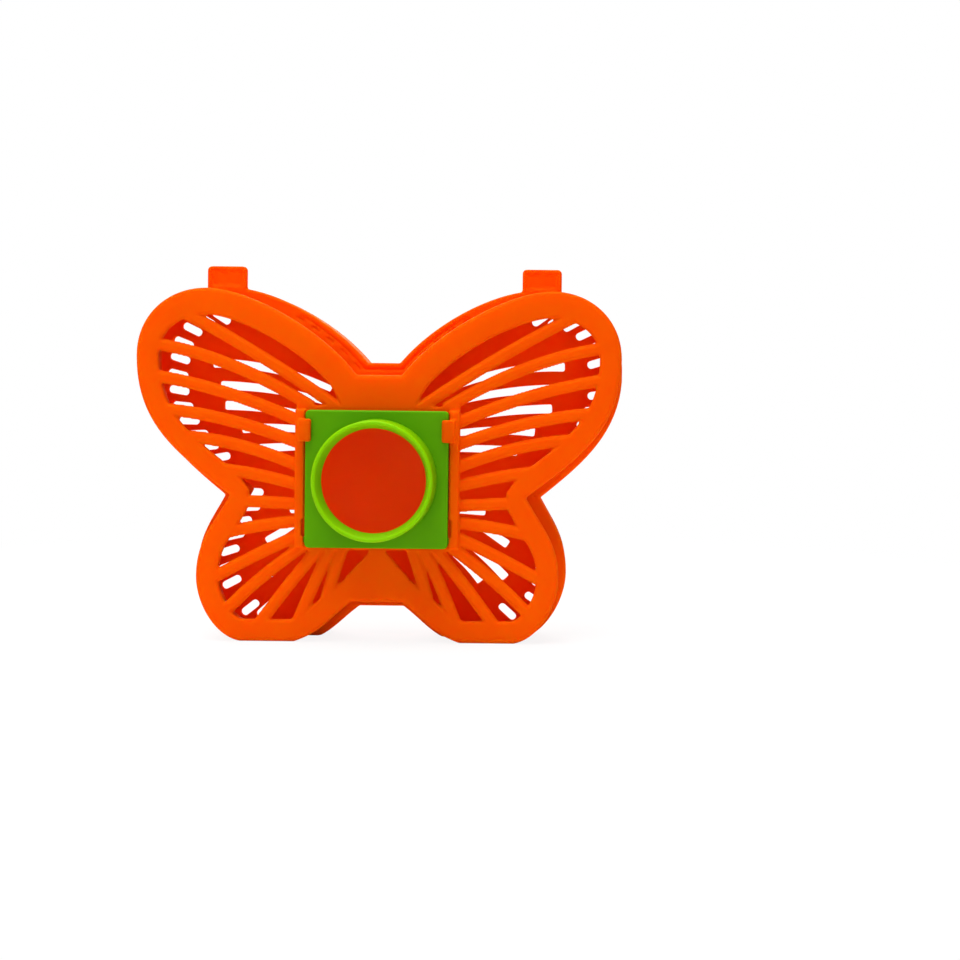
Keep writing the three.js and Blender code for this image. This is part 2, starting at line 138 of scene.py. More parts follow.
def roundBox2d(left, right, low, high, radius, steps=6):
    corners = [(right, low, -90), (right, high, 0), (left, high, 90), (left, low, 180)]
    points = []
    for x, z, start in corners:
        cx = x - radius if x == right else x + radius
        cz = z - radius if z == high else z + radius
        for k in range(steps + 1):
            turn = math.radians(start + 90 * k / steps)
            points.append((cx + radius * math.cos(turn), cz + radius * math.sin(turn)))
    return np.array(points)


def newObject(name, mesh):
    made = bpy.data.objects.new(name, mesh)
    scene.collection.objects.link(made)
    return made


def fromBmesh(name, mesh):
    made = bpy.data.meshes.new(name)
    mesh.to_mesh(made)
    mesh.free()
    return newObject(name, made)


def loft(name, levels):  # closed solid through outlines at their own depths
    mesh = bmesh.new()
    rings = [[mesh.verts.new((x * mm, y * mm, z * mm)) for x, z in outline] for outline, y in levels]
    count = len(rings[0])
    for low, high in zip(rings, rings[1:]):
        for k in range(count):
            mesh.faces.new((low[k], low[(k + 1) % count], high[(k + 1) % count], high[k]))
    mesh.faces.new(rings[0][::-1])
    mesh.faces.new(rings[-1])
    bmesh.ops.recalc_face_normals(mesh, faces=mesh.faces)
    return fromBmesh(name, mesh)


def prism(name, outline, frontY, backY):  # straight solid between two depths
    return loft(name, [(outline, frontY), (outline, backY)])


def edgeLevels(outline, faceY, inset, depth, steps=5):  # quarter round from the face inwards
    if not inset:
        return [(outline, faceY)]
    turns = [math.pi / 2 * k / steps for k in range(steps + 1)]
    return [(grown(outline, -inset * (1 - math.sin(a))), faceY + depth * (1 - math.cos(a))) for a in turns]


def easedLevels(outline, frontY, backY, frontEdge, backEdge):  # straight wall with rounded edges
    front = edgeLevels(outline, frontY, frontEdge, frontEdge)
    back = edgeLevels(outline, backY, backEdge, -backEdge)
    return front + back[::-1]


def lathe(name, profile, centreZ, steps=128):  # closed profile of radius and depth about the lens axis
    mesh = bmesh.new()
    onAxis = [radius < samePoint for radius, _ in profile]
    rings = []
    for k in range(steps):
        turn = 2 * math.pi * k / steps
        ring = []
        for j, (radius, y) in enumerate(profile):
            if onAxis[j] and k:
                ring.append(rings[0][j])
            else:
                x, z = radius * math.cos(turn), radius * math.sin(turn)
                ring.append(mesh.verts.new((x * mm, y * mm, (centreZ + z) * mm)))
        rings.append(ring)
    count = len(profile)
    for k in range(steps):
        here, there = rings[k], rings[(k + 1) % steps]
        for j in range(count):
            nextJ = (j + 1) % count
            if onAxis[j] and onAxis[nextJ]:
                continue
            corners = []
            for vert in (here[j], there[j], there[nextJ], here[nextJ]):
                if vert not in corners:
                    corners.append(vert)
            mesh.faces.new(corners)
    bmesh.ops.recalc_face_normals(mesh, faces=mesh.faces)
    return fromBmesh(name, mesh)


def settle(made):  # turns live modifiers into a plain mesh
    graph = bpy.context.evaluated_depsgraph_get()
    plain = bpy.data.meshes.new_from_object(made.evaluated_get(graph))
    made.modifiers.clear()
    made.data = plain
    return made


def discard(*objects):
    for made in objects:
        bpy.data.objects.remove(made)


def boolean(target, tool, operation):
    change = target.modifiers.new(operation, "BOOLEAN")
    change.operation = operation
    change.solver = "MANIFOLD"
    change.object = tool
    settle(target)


def carve(target, *tools):
    for tool in tools:
        boolean(target, tool, "DIFFERENCE")


def gather(name, shells):  # one object from several closed shells
    mesh = bmesh.new()
    for shell in shells:
        mesh.from_mesh(shell.data)
    discard(*shells)
    return fromBmesh(name, mesh)


def triangleCount(made):
    return sum(len(face.vertices) - 2 for face in made.data.polygons)


mouldSettings = {"softness": 0.5, "passes": 2}


def moulded(made, node, voxel, triangles):  # fuses shells with small fillets, inside the CAD node's box
    fuse = made.modifiers.new("fuse", "REMESH")
    fuse.mode = "VOXEL"
    fuse.voxel_size = voxel * mm
    fuse.use_smooth_shade = True
    soften = made.modifiers.new("soften", "SMOOTH")
    soften.factor = mouldSettings["softness"]
    soften.iterations = mouldSettings["passes"]
    settle(made)
    faces = triangleCount(made)
    if faces > triangles:
        thin = made.modifiers.new("thin", "DECIMATE")
        thin.ratio = triangles / faces
        settle(made)
    low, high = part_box(node)
    coords = np.zeros(len(made.data.vertices) * 3)
    made.data.vertices.foreach_get("co", coords)
    coords = np.clip(coords.reshape(-1, 3), np.array(low), np.array(high))
    made.data.vertices.foreach_set("co", coords.ravel())
    shade = made.modifiers.new("shade", "WEIGHTED_NORMAL")
    shade.keep_sharp = False
    made.data.shade_smooth()
    settle(made)
    print(made.name, "triangles:", triangleCount(made))


def nodeTree(name, sizes):  # geometry node tree with one named number input for each size
    tree = bpy.data.node_groups.new(name, "GeometryNodeTree")
    tree.interface.new_socket("Geometry", in_out="INPUT", socket_type="NodeSocketGeometry")
    for size in sizes:
        tree.interface.new_socket(size, in_out="INPUT", socket_type="NodeSocketFloat")
    tree.interface.new_socket("Geometry", in_out="OUTPUT", socket_type="NodeSocketGeometry")
    return tree, tree.nodes.new("NodeGroupInput"), tree.nodes.new("NodeGroupOutput")


def addTree(made, tree, values):
    change = made.modifiers.new(tree.name, "NODES")
    change.node_group = tree
    for item in tree.interface.items_tree:
        if item.in_out == "INPUT" and item.name in values:
            change[item.identifier] = values[item.name]


def useTree(made, tree, values):
    addTree(made, tree, values)
    return settle(made)


# plastics and lens

mixFirst, mixSecond, mixResult = 6, 7, 2  # colour sockets of a Mix node

plasticLook = {
    "ior": 1.49,
    "flowScale": 34.0,
    "flowDetail": 4,
    "flowDistortion": 0.8,
    "flowBand": (0.35, 0.68),
    "grainScale": 900.0,
    "grainDetail": 3,
    "grainBand": (0.3, 0.7),
    "grainHeight": 0.05,
}


def mouldedPlasticGroup():  # faint flow marks and a fine satin grain
    group = bpy.data.node_groups.new("mouldedPlastic", "ShaderNodeTree")
    sockets = group.interface
    sockets.new_socket("Colour", in_out="INPUT", socket_type="NodeSocketColor")
    sockets.new_socket("Flow colour", in_out="INPUT", socket_type="NodeSocketColor")
    sockets.new_socket("Smoothest", in_out="INPUT", socket_type="NodeSocketFloat")
    sockets.new_socket("Roughest", in_out="INPUT", socket_type="NodeSocketFloat")
    sockets.new_socket("Grain depth", in_out="INPUT", socket_type="NodeSocketFloat")
    sockets.new_socket("Colour", in_out="OUTPUT", socket_type="NodeSocketColor")
    sockets.new_socket("Roughness", in_out="OUTPUT", socket_type="NodeSocketFloat")
    sockets.new_socket("Normal", in_out="OUTPUT", socket_type="NodeSocketVector")
    given, out = group.nodes.new("NodeGroupInput"), group.nodes.new("NodeGroupOutput")
    place = group.nodes.new("ShaderNodeTexCoord")
    flow = group.nodes.new("ShaderNodeTexNoise")
    flow.inputs["Scale"].default_value = plasticLook["flowScale"]
    flow.inputs["Detail"].default_value = plasticLook["flowDetail"]
    flow.inputs["Distortion"].default_value = plasticLook["flowDistortion"]
    grain = group.nodes.new("ShaderNodeTexNoise")
    grain.inputs["Scale"].default_value = plasticLook["grainScale"]
    grain.inputs["Detail"].default_value = plasticLook["grainDetail"]
    spread = group.nodes.new("ShaderNodeMapRange")
    spread.inputs["From Min"].default_value = plasticLook["flowBand"][0]
    spread.inputs["From Max"].default_value = plasticLook["flowBand"][1]
    blend = group.nodes.new("ShaderNodeMix")
    blend.data_type = "RGBA"
    gloss = group.nodes.new("ShaderNodeMapRange")
    gloss.inputs["From Min"].default_value = plasticLook["grainBand"][0]
    gloss.inputs["From Max"].default_value = plasticLook["grainBand"][1]
    bump = group.nodes.new("ShaderNodeBump")
    bump.inputs["Distance"].default_value = plasticLook["grainHeight"] * mm
    link = group.links.new
    link(place.outputs["Object"], flow.inputs["Vector"])
    link(place.outputs["Object"], grain.inputs["Vector"])
    link(flow.outputs["Fac"], spread.inputs["Value"])
    link(spread.outputs["Result"], blend.inputs["Factor"])
    link(given.outputs["Colour"], blend.inputs[mixFirst])
    link(given.outputs["Flow colour"], blend.inputs[mixSecond])
    link(grain.outputs["Fac"], gloss.inputs["Value"])
    link(given.outputs["Smoothest"], gloss.inputs["To Min"])
    link(given.outputs["Roughest"], gloss.inputs["To Max"])
    link(grain.outputs["Fac"], bump.inputs["Height"])
    link(given.outputs["Grain depth"], bump.inputs["Strength"])
    link(blend.outputs[mixResult], out.inputs["Colour"])
    link(gloss.outputs["Result"], out.inputs["Roughness"])
    link(bump.outputs["Normal"], out.inputs["Normal"])
    return group


def plastic(name, group, look):
    made = bpy.data.materials.new(name)
    made.use_nodes = True
    nodes, link = made.node_tree.nodes, made.node_tree.links.new
    surface = nodes["Principled BSDF"]
    surface.inputs["IOR"].default_value = plasticLook["ior"]
    surface.inputs["Specular IOR Level"].default_value = look["shine"]
    surface.inputs["Subsurface Weight"].default_value = look["glow"]
    surface.inputs["Subsurface Radius"].default_value = look["glowReach"]
    surface.inputs["Subsurface Scale"].default_value = look["glowScale"] * mm
    finish = nodes.new("ShaderNodeGroup")
    finish.node_tree = group
    finish.inputs["Colour"].default_value = (*look["colour"], 1)
    finish.inputs["Flow colour"].default_value = (*look["flow"], 1)
    finish.inputs["Smoothest"].default_value = look["roughness"][0]
    finish.inputs["Roughest"].default_value = look["roughness"][1]
    finish.inputs["Grain depth"].default_value = look["grain"]
    link(finish.outputs["Colour"], surface.inputs["Base Color"])
    link(finish.outputs["Roughness"], surface.inputs["Roughness"])
    link(finish.outputs["Normal"], surface.inputs["Normal"])
    return made


def paintRingLight(made, look):  # painted light: the ring's base colour is blended towards a lighter green, more so towards its front, a painted glow standing in for light through its thin wall
    nodes, link = made.node_tree.nodes, made.node_tree.links.new
    base = nodes["Principled BSDF"].inputs["Base Color"]
    place = nodes.new("ShaderNodeTexCoord")
    split = nodes.new("ShaderNodeSeparateXYZ")
    reach = nodes.new("ShaderNodeMapRange")
    reach.inputs["From Min"].default_value = stack["doorFront"] * mm
    reach.inputs["From Max"].default_value = stack["ringFront"] * mm
    blend = nodes.new("ShaderNodeMix")
    blend.data_type = "RGBA"
    blend.inputs[mixSecond].default_value = (*look["thin"], 1)
    link(place.outputs["Object"], split.inputs[0])
    link(split.outputs["Y"], reach.inputs["Value"])
    link(reach.outputs["Result"], blend.inputs["Factor"])
    link(base.links[0].from_socket, blend.inputs[mixFirst])
    link(blend.outputs[mixResult], base)


def lensClear(name, look):
    made = bpy.data.materials.new(name)
    made.use_nodes = True
    surface = made.node_tree.nodes["Principled BSDF"]
    surface.inputs["Base Color"].default_value = (*look["colour"], 1)
    surface.inputs["Transmission Weight"].default_value = 1
    surface.inputs["IOR"].default_value = look["ior"]
    surface.inputs["Roughness"].default_value = look["roughness"]
    surface.inputs["Specular Tint"].default_value = (*look["mirror"], 1)
    return made


orangeLook = {
    "colour": (0.92, 0.094, 0.0),
    "flow": (0.95, 0.106, 0.0),
    "roughness": (0.6, 0.75),
    "grain": 0.1,
    "shine": 0.015,
    "glow": 0.6,
    "glowReach": (1.0, 0.06, 0.02),
    "glowScale": 5.0,
}
greenLook = {
    "colour": (0.1, 0.34, 0.0),
    "flow": (0.115, 0.375, 0.0),
    # thin: the lighter green painted onto the front of the ring as painted light
    "thin": (0.235, 0.57, 0.0),
    "roughness": (0.32, 0.44),
    "grain": 0.1,
    "shine": 0.05,
    "glow": 0.4,
    "glowReach": (0.5, 1.0, 0.1),
    "glowScale": 2.0,
}
lensLook = {
    "colour": (0.97, 0.985, 0.98),
    "ior": 1.49,
    "roughness": 0.0,
    "mirror": (0.03, 0.03, 0.03),
}
satinGroup = mouldedPlasticGroup()
orangePlastic = plastic("orangePlastic", satinGroup, orangeLook)
greenPlastic = plastic("greenPlastic", satinGroup, greenLook)
paintRingLight(greenPlastic, greenLook)
clearLens = lensClear("clearLens", lensLook)
print("materials made")


# front cover

coverSettings = {
    "plate": 2.2,
    "lip": 2.6,
    "lipEdge": 0.3,
    "edge": 1.3,
    "skirtInset": 1.9,
    "skirtWall": 1.4,
    "skirtDepth": 16.0,
    "beadInset": 0.6,
    "beadDepth": 6.0,
    "beadWidth": 1.8,
    "beadSlope": 0.6,
    "rimWidth": 6.8,
    "rimTopExtra": 1.5,
    "waistBlunt": 0.7,
    "windowEdge": 0.8,
    "windowFlare": 1.6,
    "windowSteps": 4,
    "frameHalf": 25.2,
    "frameTop": 73.0,
    "frameBottom": 28.6,
    "frameTopRun": 14.2,
    "frameBottomRun": 15.5,
    "chestFlare": 6.0,
    "bellyTip": 2.0,
    "bellyFoot": 9.8,
    "bellyFootHeight": 20.0,
    "ribWidth": 4.0,
    "ribRound": 1.05,
    "ribStart": 3.6,
    "ribEnd": 1.5,
    "ribSteps": 24,
    "voxel": 0.36,
    "triangles": 190000,
}

# each vein: share of the outline, share of the door frame, upward bow
veins = [
    (0.304, 0.034, 1.1), (0.361, 0.147, 2.9), (0.402, 0.255, 1.8), (0.446, 0.348, 1.8), (0.485, 0.443, 2.0),
    (0.542, 0.522, 0.9), (0.607, 0.603, 0.1), (0.66, 0.676, 0.6), (0.723, 0.739, 0.4), (0.773, 0.806, 0.9),
    (0.822, 0.884, 0.3), (0.876, 0.935, 0.3), (0.914, 0.985, 0.3),
]

railSettings = {
    "doorHalf": 21.95,
    "doorBottom": 29.4,
    "doorHeight": 42.3,
    "gap": 0.25,
    "width": 3.0,
    "height": 2.2,
    "edge": 0.5,
    "grooveHeight": 1.5,
    "grooveReach": 0.85,
    "earLow": 31.0,
    "earHeight": 1.6,
    "earClearance": 0.3,
    "windowHeight": 5.6,
    "hookBottom": 62.0,
    "hookHeight": 7.0,
    "hookOverlap": 2.0,
    "hookPost": 1.8,
    "hookThickness": 1.3,
    "hookCorner": 0.6,
    "hookBackEdge": 0.2,
    "hookGap": 0.3,
    "postInto": 0.5,
    "apertureMargin": 2.6,
}


def atShare(line, share):
    lengths = np.r_[0, np.cumsum(np.linalg.norm(np.diff(line, axis=0), axis=1))]
    want = share * lengths[-1]
    return np.array([np.interp(want, lengths, line[:, 0]), np.interp(want, lengths, line[:, 1])])


def frameLine():
    s = coverSettings
    half = s["frameHalf"]
    return np.array([
        (half - s["frameTopRun"], s["frameTop"]),
        (half, s["frameTop"]),
        (half, s["frameBottom"]),
        (half - s["frameBottomRun"], s["frameBottom"]),
    ])


def ribTree():
    tree, given, out = nodeTree("veinRibs", ["Width", "Thickness", "Rounding"])
    new, link = tree.nodes.new, tree.links.new
    section = new("GeometryNodeCurvePrimitiveQuadrilateral")
    soften = new("GeometryNodeFilletCurve")
    soften.mode = "POLY"
    soften.inputs["Count"].default_value = 1  # a bevel
    upright = new("GeometryNodeSetCurveNormal")
    upright.mode = "FREE"
    upright.inputs["Normal"].default_value = (0, -1, 0)
    sweep = new("GeometryNodeCurveToMesh")
    sweep.inputs["Fill Caps"].default_value = True
    real = new("GeometryNodeRealizeInstances")
    colour = new("GeometryNodeSetMaterial")
    colour.inputs["Material"].default_value = orangePlastic
    link(given.outputs["Width"], section.inputs["Height"])
    link(given.outputs["Thickness"], section.inputs["Width"])
    link(section.outputs["Curve"], soften.inputs["Curve"])
    link(given.outputs["Rounding"], soften.inputs["Radius"])
    link(given.outputs["Geometry"], upright.inputs["Curve"])
    link(upright.outputs["Curve"], sweep.inputs["Curve"])
    link(soften.outputs["Curve"], sweep.inputs["Profile Curve"])
    link(sweep.outputs["Mesh"], real.inputs["Geometry"])
    link(real.outputs["Geometry"], colour.inputs["Geometry"])
    link(colour.outputs["Geometry"], out.inputs["Geometry"])
    return tree


def veinRibs():
    s = coverSettings
    rim, door = halfOutline(), frameLine()
    paths = bpy.data.curves.new("veinPaths", "CURVE")
    paths.dimensions = "3D"
    depth = stack["front"] + s["plate"] / 2
    for side in (-1, 1):
        for rimShare, frameShare, bow in veins:
            outer, inner = atShare(rim, rimShare), atShare(door, frameShare)
            chord = (inner - outer) / np.linalg.norm(inner - outer)
            middle = (outer + inner) / 2 + np.array([-chord[1], chord[0]]) * -2 * bow
            start, end = outer + chord * s["ribStart"], inner + chord * s["ribEnd"]
            spline = paths.splines.new("POLY")
            spline.points.add(s["ribSteps"])
            for k in range(s["ribSteps"] + 1):
                t = k / s["ribSteps"]
                x, z = (1 - t) ** 2 * start + 2 * t * (1 - t) * middle + t ** 2 * end
                spline.points[k].co = (side * x * mm, depth * mm, z * mm, 1)
    made = newObject("veinPaths", paths)
    values = {"Width": s["ribWidth"] * mm, "Thickness": s["plate"] * mm, "Rounding": s["ribRound"] * mm}
    addTree(made, ribTree(), values)
    graph = bpy.context.evaluated_depsgraph_get()
    plain = bpy.data.meshes.new_from_object(made.evaluated_get(graph))
    discard(made)
    return newObject("veinRibs", plain)


def rimWidths(outline):  # the rim is wider along the tops of the wings and blunt at the waist
    s = coverSettings
    lean = outline[:, 1] - abs(outline[:, 0]) / 2
    tipLean, topLean = (butterfly[k][1] - butterfly[k][0] / 2 for k in ("wingTip", "wingTop"))
    share = np.clip((lean - tipLean) / (topLean - tipLean), 0, 1)
    widths = s["rimWidth"] + s["rimTopExtra"] * share ** 2 * (3 - 2 * share)
    atWaist = np.linalg.norm(abs(outline) - butterfly["waist"][:2], axis=1) < samePoint
    return np.where(atWaist, widths * s["waistBlunt"], widths)


def bodyPanel():
    s = coverSettings
    chest = s["frameHalf"] - s["frameTopRun"]
    half = np.array([
        (chest + s["chestFlare"], butterfly["topNotch"][1]),
        (chest, s["frameTop"]),
        (s["frameHalf"], s["frameTop"]),
        (s["frameHalf"], s["frameBottom"]),
        (s["bellyTip"], s["frameBottom"]),
        (s["bellyFoot"], s["bellyFootHeight"]),
        (s["bellyFoot"], butterfly["bottomNotch"][1]),
    ])
    return np.concatenate([half * (-1, 1), half[::-1]])


def railShells(side):
    s = railSettings
    front = stack["front"]
    inner = s["doorHalf"] + s["gap"]
    top = s["doorBottom"] + s["doorHeight"]
    railFront = front - s["height"]
    bar2d = box2d(side * inner, side * (inner + s["width"]), s["doorBottom"], top)
    bar = loft("bar", easedLevels(bar2d, railFront, front + beyond, s["edge"], 0))
    earTop = s["earLow"] + s["earHeight"]
    grooveStart, grooveEnd = side * (inner - beyond), side * (inner + s["grooveReach"])
    groove2d = box2d(grooveStart, grooveEnd, s["earLow"] - s["earClearance"], s["hookBottom"])
    groove = prism("groove", groove2d, front - s["grooveHeight"], front)
    entry2d = box2d(grooveStart, grooveEnd, earTop + s["earClearance"], earTop + s["windowHeight"])
    entry = prism("entry", entry2d, railFront - beyond, front)
    carve(bar, groove, entry)
    hookTop = s["hookBottom"] + s["hookHeight"]
    hookBack = stack["doorFront"] - s["hookGap"]
    hookFront = hookBack - s["hookThickness"]
    post2d = box2d(side * inner, side * (inner + s["hookPost"]), s["hookBottom"], hookTop)
    post = prism("post", post2d, hookBack - s["postInto"], front + beyond)
    left, right = sorted((side * (s["doorHalf"] - s["hookOverlap"]), side * (inner + s["hookPost"])))
    claw2d = roundBox2d(left, right, s["hookBottom"], hookTop, s["hookCorner"])
    claw = loft("claw", easedLevels(claw2d, hookFront, hookBack, s["edge"], s["hookBackEdge"]))
    discard(groove, entry)
    return [bar, post, claw]


def makeCover():
    s = coverSettings
    front = stack["front"]
    outline = fullOutline()
    skirt, bead = grown(outline, -s["skirtInset"]), grown(outline, -s["beadInset"])
    lip, beadAt = front + s["lip"], front + s["beadDepth"]
    beadEnd = beadAt + s["beadWidth"]
    block = loft("block", [
        *easedLevels(outline, front, lip, s["edge"], s["lipEdge"]),
        (skirt, lip + s["lipEdge"]),
        (skirt, beadAt),
        (bead, beadAt + s["beadSlope"]),
        (bead, beadEnd - s["beadSlope"]),
        (skirt, beadEnd),
        (skirt, front + s["skirtDepth"]),
    ])
    inside = grown(skirt, -s["skirtWall"])
    hollow = prism("hollow", inside, front + s["plate"], front + s["skirtDepth"] + beyond)
    window = grown(outline, -rimWidths(outline))
    edge = s["windowEdge"]
    windows = loft("windows", [
        (grown(window, edge * s["windowFlare"]), front - beyond),
        *edgeLevels(window, front, -edge, edge, s["windowSteps"]),
        (window, front + s["plate"] + beyond),
    ])
    panel = prism("panel", bodyPanel(), front - 2 * beyond, front + s["plate"] + 2 * beyond)
    carve(windows, panel)
    carve(block, hollow, windows)
    r = railSettings
    apertureHalf = r["doorHalf"] - r["apertureMargin"]
    apertureLow = r["doorBottom"] + r["apertureMargin"]
    apertureHigh = r["doorBottom"] + r["doorHeight"] - r["apertureMargin"]
    aperture2d = box2d(-apertureHalf, apertureHalf, apertureLow, apertureHigh)
    aperture = prism("aperture", aperture2d, front - beyond, front + s["plate"] + beyond)
    ribs = veinRibs()
    carve(block, aperture)
    discard(hollow, windows, panel, aperture)
    made = gather("frontCover", [block, ribs, *railShells(-1), *railShells(1)])
    moulded(made, "front_cover", s["voxel"], s["triangles"])
    made.data.materials.clear()
    made.data.materials.append(orangePlastic)
    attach(made, "cover")
    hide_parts("front_cover")


makeCover()
print("front cover made")


# back shell

shellSettings = {
    "wall": 1.4,
    "backEdge": 0.9,
    "flange": 2.4,
    "flangeEdge": 0.7,
    "flangeBackEdge": 0.3,
    "tubStart": 0.6,
    "tubSetback": 0.3,
    "sleeveGap": 0.3,
    "tabOffset": 49.7,
    "tabWidth": 12.4,
    "tabTop": 116.5,
    "tabThickness": 2.2,
    "tabCorner": 1.3,
    "tabEdge": 0.5,
    "tabRecess": 0.5,
    "tabRim": 1.4,
    "dishCorner": 0.5,
    "dishFlare": 0.6,
    "dishSlope": 0.5,
    "slotPitch": 5.2,
    "slotWidth": 2.5,
    "slotLength": 6.8,
    "slotDepth": 3.0,
    "slotEnd": 0.15,
    "slotEndSteps": 8,
    "slotTopMargin": 2.6,  # what the margin of the short slots gains up to the wing tops
    "topMarginStart": 58.0,
    "topMarginRise": 40.0,
    "grooveDepth": 0.6,
    "grooveRim": 1.6,
    "grooveStart": 1.4,
    "ventPitch": 5.8,
    "ventLead": 0.2,
    "ventCount": 5,
    "ventLength": 3.2,
    "ventWidth": 0.9,
    "ventDepth": 1.6,
    "ventOut": 0.7,
    "longWidth": 2.9,
    "longTaper": 2.0,
    "longSteps": 16,
    "voxel": 0.36,
    "triangles": 190000,
}

# each row of short slots: where it starts along its line, count, height of its hub, margin to the edge
slotRows = [(0.23, 13, 66.0, 1.9), (0.628, 10, 42.0, 3.1)]

# each long slot: inner end, outer end, upward bow
longSlots = [
    ((18.5, 78), (57, 86), 2.2), ((21, 74), (54.5, 78.8), 1.2), ((21, 68.2), (53, 72.4), 0.9),
    ((21, 64), (47.5, 64.8), 0.8), ((21, 59.1), (42, 58.4), 0.4), ((21, 39.3), (31.8, 39), 0),
    ((29, 34.8), (39.2, 28.2), 0), ((25.3, 29.2), (38.6, 17.4), 0.4), ((21.8, 25), (30.6, 16.2), 0.4),
]


def slotTool(name):  # slot with rounded ends, one mm long and wide, from its inner end along +X
    end, steps = shellSettings["slotEnd"], shellSettings["slotEndSteps"]
    outline = []
    for start, centre in ((90, end), (-90, 1 - end)):
        for k in range(steps + 1):
            turn = math.radians(start + 180 * k / steps)
            outline.append((centre + end * math.cos(turn), math.sin(turn) / 2))
    return prism(name, np.array(outline), -1, 1)


def slotTree(tool):
    tree, given, out = nodeTree("panelSlots", ["Depth"])
    new, link = tree.nodes.new, tree.links.new
    shape = new("GeometryNodeObjectInfo")
    shape.inputs["Object"].default_value = tool
    turn, size = new("GeometryNodeInputNamedAttribute"), new("GeometryNodeInputNamedAttribute")
    turn.data_type = size.data_type = "FLOAT_VECTOR"
    turn.inputs["Name"].default_value = "slotTurn"
    size.inputs["Name"].default_value = "slotSize"
    deepen = new("ShaderNodeVectorMath")
    deepen.operation = "MULTIPLY"
    depth = new("ShaderNodeCombineXYZ")
    depth.inputs["X"].default_value = 1
    depth.inputs["Z"].default_value = 1
    place = new("GeometryNodeInstanceOnPoints")
    real = new("GeometryNodeRealizeInstances")
    colour = new("GeometryNodeSetMaterial")
    colour.inputs["Material"].default_value = orangePlastic
    link(given.outputs["Depth"], depth.inputs["Y"])
    link(size.outputs["Attribute"], deepen.inputs[0])
    link(depth.outputs["Vector"], deepen.inputs[1])
    link(given.outputs["Geometry"], place.inputs["Points"])
    link(shape.outputs["Geometry"], place.inputs["Instance"])
    link(turn.outputs["Attribute"], place.inputs["Rotation"])
    link(deepen.outputs["Vector"], place.inputs["Scale"])
    link(place.outputs["Instances"], real.inputs["Geometry"])
    link(real.outputs["Geometry"], colour.inputs["Geometry"])
    link(colour.outputs["Geometry"], out.inputs["Geometry"])
    return tree


def slotPoints(name, rows, depth):  # one vertex for each slot, with its turn and size
    mesh = bpy.data.meshes.new(name)
    mesh.from_pydata([(x * mm, depth * mm, z * mm) for x, z, _, _, _ in rows], [], [])
    turn = mesh.attributes.new("slotTurn", "FLOAT_VECTOR", "POINT")
    size = mesh.attributes.new("slotSize", "FLOAT_VECTOR", "POINT")
    for k, (_, _, angle, length, width) in enumerate(rows):
        turn.data[k].vector = (0, -angle, 0)
        size.data[k].vector = (length, 1, width)
    return newObject(name, mesh)


def shortRows():  # short slots along the outline, each row pointing at its hub
    s = shellSettings
    outline = shellOutline(s["tubSetback"])
    upper = np.clip((outline[:, 1] - s["topMarginStart"]) / s["topMarginRise"], 0, 1)
    rows = []
    for first, count, hub, margin in slotRows:
        inset = grown(outline, -margin - s["slotTopMargin"] * upper - s["slotLength"] / 2)
        line = inset[:len(halfOutline())] * (-1, 1)
        length = np.linalg.norm(np.diff(line, axis=0), axis=1).sum()
        for k in range(count):
            middle = atShare(line, first + k * s["slotPitch"] / length)
            way = middle - (0, hub)
            way /= np.linalg.norm(way)
            x, z = middle - way * s["slotLength"] / 2
            for side in (-1, 1):
                angle = math.atan2(way[1], side * way[0])
                rows.append((side * x, z, angle, s["slotLength"], s["slotWidth"]))
    return rows


def ventRows():  # small vents in the flange, from the top notch up both wings
    s = shellSettings
    edge = grown(fullOutline(), s["ventOut"])[:len(halfOutline())] * (-1, 1)
    steps = np.linalg.norm(np.diff(edge, axis=0), axis=1)
    rows = []
    for k in range(s["ventCount"]):
        start = steps[0] + s["ventPitch"] * (k + s["ventLead"])
        a, b = (atShare(edge, reach / steps.sum()) for reach in (start, start + s["ventLength"]))
        for side in (-1, 1):
            angle = math.atan2(b[1] - a[1], side * (b[0] - a[0]))
            rows.append((side * a[0], a[1], angle, s["ventLength"], s["ventWidth"]))
    return rows


def longTool(ends, side):  # cutter for one bowed slot, tapering towards its inner end
    s = shellSettings
    inner, outer, bow = np.array(ends[0], float), np.array(ends[1], float), ends[2]
    chord = (outer - inner) / np.linalg.norm(outer - inner)
    middle = (inner + outer) / 2 + np.array([-chord[1], chord[0]]) * 2 * bow
    t = np.linspace(0, 1, s["longSteps"] + 1)[:, None]
    path = (1 - t) ** 2 * inner + 2 * t * (1 - t) * middle + t ** 2 * outer
    way = np.gradient(path, axis=0)
    way /= np.linalg.norm(way, axis=1)[:, None]
    reach = (s["longTaper"] + (s["longWidth"] - s["longTaper"]) * t) / 2
    right = np.stack([way[:, 1], -way[:, 0]], 1) * reach
    outline = np.concatenate([path + right, (path - right)[::-1]]) * (side, 1)
    return prism("longSlot", outline, stack["panel"] - beyond, stack["back"] + beyond)


def tabShell(side):  # finger tab with a shallow dish in its front
    s = shellSettings
    rim, wingTop, margin = stack["rim"], butterfly["wingTop"][1], s["tabRim"]
    left, right = (side * s["tabOffset"] + end * s["tabWidth"] / 2 for end in (-1, 1))
    tab2d = roundBox2d(left, right, wingTop - s["wall"], s["tabTop"], s["tabCorner"])
    tab = loft("tab", easedLevels(tab2d, rim, rim + s["tabThickness"], s["tabEdge"], s["tabEdge"]))
    dishLow, dishHigh = wingTop + margin, s["tabTop"] - margin
    dish2d = roundBox2d(left + margin, right - margin, dishLow, dishHigh, s["dishCorner"])
    dish = loft("dish", [
        (grown(dish2d, s["dishFlare"]), rim - beyond),
        (grown(dish2d, s["dishFlare"]), rim),
        (grown(dish2d, -s["dishSlope"]), rim + s["tabRecess"]),
    ])
    carve(tab, dish)
    discard(dish)
    return tab


